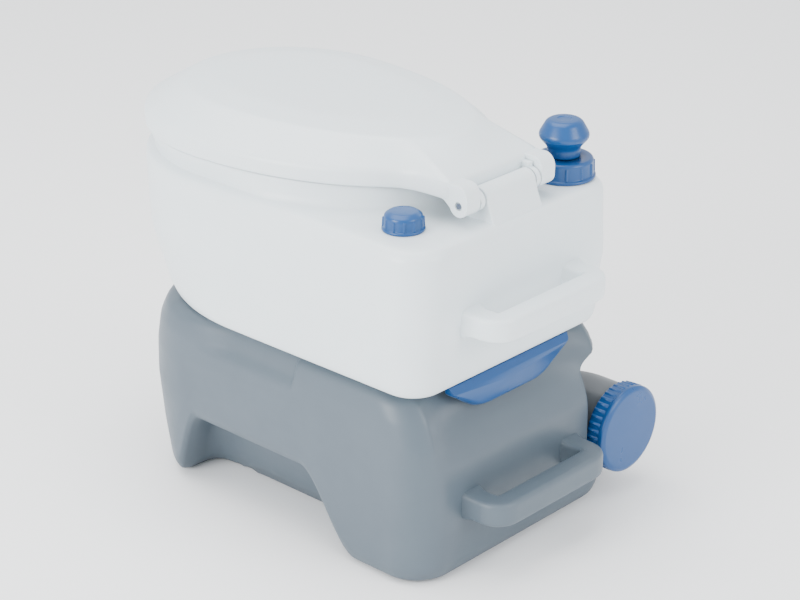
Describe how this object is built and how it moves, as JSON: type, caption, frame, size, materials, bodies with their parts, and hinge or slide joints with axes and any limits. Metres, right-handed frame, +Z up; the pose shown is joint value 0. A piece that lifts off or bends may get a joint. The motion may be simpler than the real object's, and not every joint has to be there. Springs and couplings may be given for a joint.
{
  "type": "portable camp toilet",
  "caption": "Portable camping toilet: white flush tank with bowl, seat, lid and hand pump, on a grey waste tank with slide valve and swivelling pour-out spout.",
  "frame": {"origin": "on the floor, under the middle of the waste tank", "axes": "+Z up, +Y towards the rear with hinge, pump and handles, +X to the side of the filler cap"},
  "size_m": [0.363, 0.5349, 0.436],
  "materials": {
    "white_plastic": "moulded HDPE, satin",
    "grey_plastic": "moulded HDPE, satin",
    "spout_plastic": "moulded PP, satin",
    "blue_plastic": "moulded PP, semi-gloss",
    "black_rubber": "matte",
    "steel": "bright",
    "natural_plastic": "moulded PP",
    "bowl_plastic": "moulded PP, glossy"
  },
  "bodies": {
    "waste_unit": {"waste_tank": "grey_plastic", "valve_housing": "natural_plastic", "valve_lip_seal": "black_rubber", "housing_screws": "steel"},
    "valve": {"valve_blade": "blue_plastic", "valve_stem": "blue_plastic", "valve_paddle": "blue_plastic"},
    "spout": {"spout_elbow": "spout_plastic", "spout_oring": "black_rubber", "spout_retainer": "steel"},
    "pour_cap": {"spout_cap": "blue_plastic", "spout_cap_gasket": "black_rubber"},
    "flush_unit": {"fresh_tank": "white_plastic", "bowl": "bowl_plastic", "bowl_seal": "black_rubber", "flush_nozzle": "natural_plastic", "flush_hose": "natural_plastic", "hinge_pins": "steel", "pump_cylinder": "natural_plastic", "pump_strainer": "natural_plastic", "pump_foot_valve": "black_rubber", "filler_gasket": "black_rubber", "pump_gasket": "black_rubber", "seat": "white_plastic", "seat_buffers": "black_rubber"},
    "lid": {"lid": "white_plastic", "lid_buffers": "black_rubber"},
    "filler_cap": {"filler_cap": "blue_plastic"},
    "pump_collar": {"pump_collar": "blue_plastic"},
    "pump_plunger": {"pump_knob": "blue_plastic", "pump_rod": "steel", "pump_piston": "black_rubber"}
  },
  "joints": [
    {"name": "unit_lift", "type": "slide", "parent": "waste_unit", "child": "flush_unit", "axis": [0, 0, 1], "range_m": [0, 0.15]},
    {"name": "valve_slide", "type": "slide", "parent": "waste_unit", "child": "valve", "axis": [0, 1, 0], "range_m": [0, 0.105]},
    {"name": "spout_swivel", "type": "hinge", "parent": "waste_unit", "child": "spout", "pos_m": [-0.108, 0.135, 0.075], "axis": [1, 0, 0], "range_deg": [0, 55]},
    {"name": "pour_cap_turn", "type": "hinge", "parent": "spout", "child": "pour_cap", "pos_m": [-0.159, 0.22, 0.075], "axis": [0, 1, 0], "continuous": true},
    {"name": "lid_hinge", "type": "hinge", "parent": "flush_unit", "child": "lid", "pos_m": [0, 0.18, 0.383], "axis": [-1, 0, 0], "range_deg": [0, 100]},
    {"name": "filler_cap_turn", "type": "hinge", "parent": "flush_unit", "child": "filler_cap", "pos_m": [0.104, 0.143, 0.37], "axis": [0, 0, 1], "continuous": true},
    {"name": "pump_collar_turn", "type": "hinge", "parent": "flush_unit", "child": "pump_collar", "pos_m": [-0.114, 0.164, 0.37], "axis": [0, 0, 1], "continuous": true},
    {"name": "pump_stroke", "type": "slide", "parent": "flush_unit", "child": "pump_plunger", "axis": [0, 0, 1], "range_m": [0, 0.05]}
  ]
}
